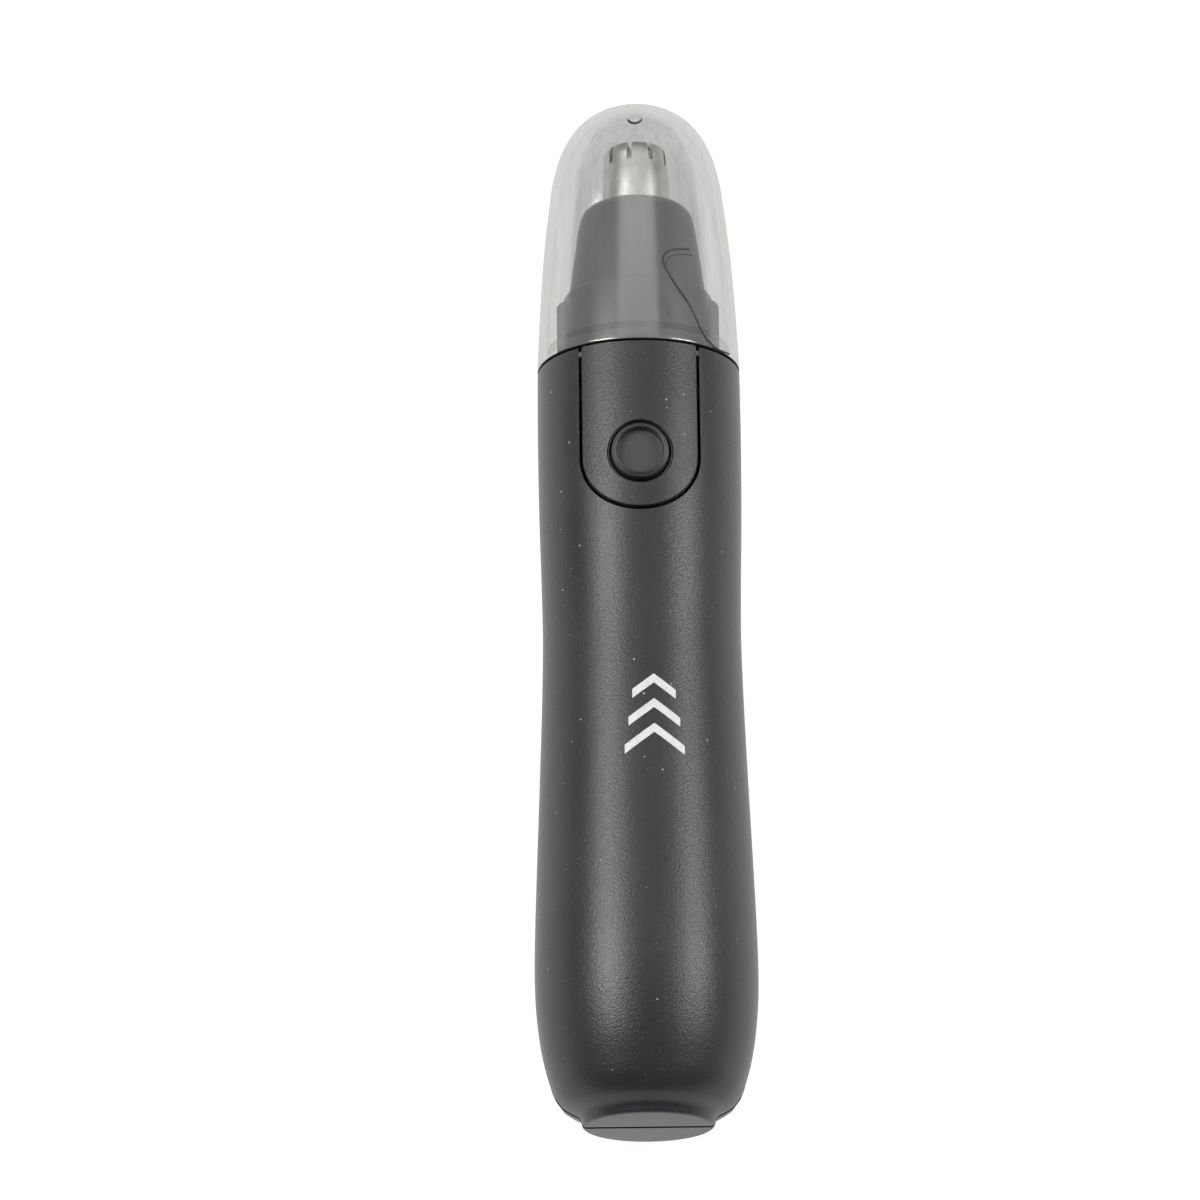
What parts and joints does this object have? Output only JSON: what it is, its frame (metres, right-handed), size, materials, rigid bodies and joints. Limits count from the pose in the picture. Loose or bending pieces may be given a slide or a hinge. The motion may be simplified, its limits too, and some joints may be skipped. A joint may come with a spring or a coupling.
{
  "type": "nose hair trimmer",
  "caption": "Battery nose and ear hair trimmer with a slotted blade tube on a twist-lock nose cone, a clear pull-off cap, a push button and a slide-off battery cover.",
  "frame": {"origin": "centre of the bounding box seen from above, on the surface the trimmer lies on", "axes": "+Y along the trimmer from its foot to the tip of its cap, +Z out of the side with the power button, +X to the right seen from the button side with the tip up"},
  "size_m": [0.03, 0.1456, 0.0289],
  "materials": {
    "soft_touch": "satin charcoal soft-touch coat with a fine grain",
    "panel_plastic": "satin charcoal, as the casing",
    "button_plastic": "satin charcoal with a raised ring",
    "neck_plastic": "semi-gloss slate",
    "clear_cap": "polished smoke-clear plastic",
    "blade_steel": "fine turned stainless steel",
    "plated_steel": "plated sheet steel",
    "spring_steel": "drawn wire",
    "contact_brass": "stamped strip",
    "bronze": "sintered bronze",
    "rotor_metal": "stacked laminations with lacquered copper",
    "ferrite": "matt ferrite",
    "inner_plastic": "plain moulded grey",
    "white_nylon": "unpainted nylon",
    "black_rubber": "matt rubber",
    "grey_foam": "soft open foam",
    "board_laminate": "green lacquered board",
    "cell_jacket": "plain printed jacket without lettering",
    "red_lead": "insulated wire",
    "black_lead": "insulated wire"
  },
  "bodies": {
    "body": {"main_housing": "soft_touch", "switch_panel": "panel_plastic", "button_return_spring": "spring_steel", "switch_body": "inner_plastic", "switch_board": "board_laminate", "chassis": "inner_plastic", "battery_cell": "cell_jacket", "positive_contact": "plated_steel", "negative_contact_plate": "plated_steel", "negative_contact_coil": "spring_steel", "negative_lead": "black_lead", "positive_lead": "red_lead", "motor_lead": "red_lead", "motor_can": "plated_steel", "motor_end_cap": "white_nylon", "motor_bush": "bronze", "motor_magnet_left": "ferrite", "motor_magnet_right": "ferrite", "motor_brush_left": "contact_brass", "motor_brush_right": "contact_brass", "motor_terminal_left": "contact_brass", "motor_terminal_right": "contact_brass", "motor_screw_left": "plated_steel", "motor_screw_right": "plated_steel", "neck_collar": "neck_plastic", "neck_seal": "black_rubber"},
    "cap": {"protective_cap": "clear_cap"},
    "head": {"head_cone": "neck_plastic", "head_base": "neck_plastic", "head_bush": "bronze", "blade_tube": "blade_steel", "tube_retainer": "spring_steel"},
    "cutter": {"cutter_shaft": "white_nylon", "cutter_spring": "spring_steel", "cutter_washer": "plated_steel", "cutter_blade": "blade_steel"},
    "rotor": {"motor_shaft": "spring_steel", "rotor_core": "rotor_metal", "commutator": "bronze", "drive_coupling": "white_nylon"},
    "button": {"power_button": "button_plastic", "switch_actuator": "white_nylon"},
    "cover": {"battery_cover": "soft_touch", "battery_foam_pad": "grey_foam"}
  },
  "joints": [
    {"name": "cap_pull", "type": "slide", "parent": "body", "child": "cap", "axis": [0, 1, 0], "range_m": [0, 0.045]},
    {"name": "head_twist", "type": "hinge", "parent": "body", "child": "head", "pos_m": [0, 0.05, 0.01397], "axis": [0, 1, 0], "range_deg": [0, 40]},
    {"name": "motor_spin", "type": "hinge", "parent": "body", "child": "rotor", "pos_m": [0, 0.001, 0.01397], "axis": [0, 1, 0], "continuous": true},
    {"name": "cutter_spin", "type": "hinge", "parent": "body", "child": "cutter", "pos_m": [0, 0.045, 0.01397], "axis": [0, 1, 0], "continuous": true},
    {"name": "button_press", "type": "slide", "parent": "body", "child": "button", "axis": [0, 0, -1], "range_m": [0, 0.0012], "stiffness_N_per_m": 400, "deforming": ["button_return_spring"]},
    {"name": "battery_cover_slide", "type": "slide", "parent": "body", "child": "cover", "axis": [0, -1, 0], "range_m": [0, 0.075]}
  ],
  "couplings": [
    {"joint": "cutter_spin", "follows": "motor_spin", "ratio": 1}
  ]
}
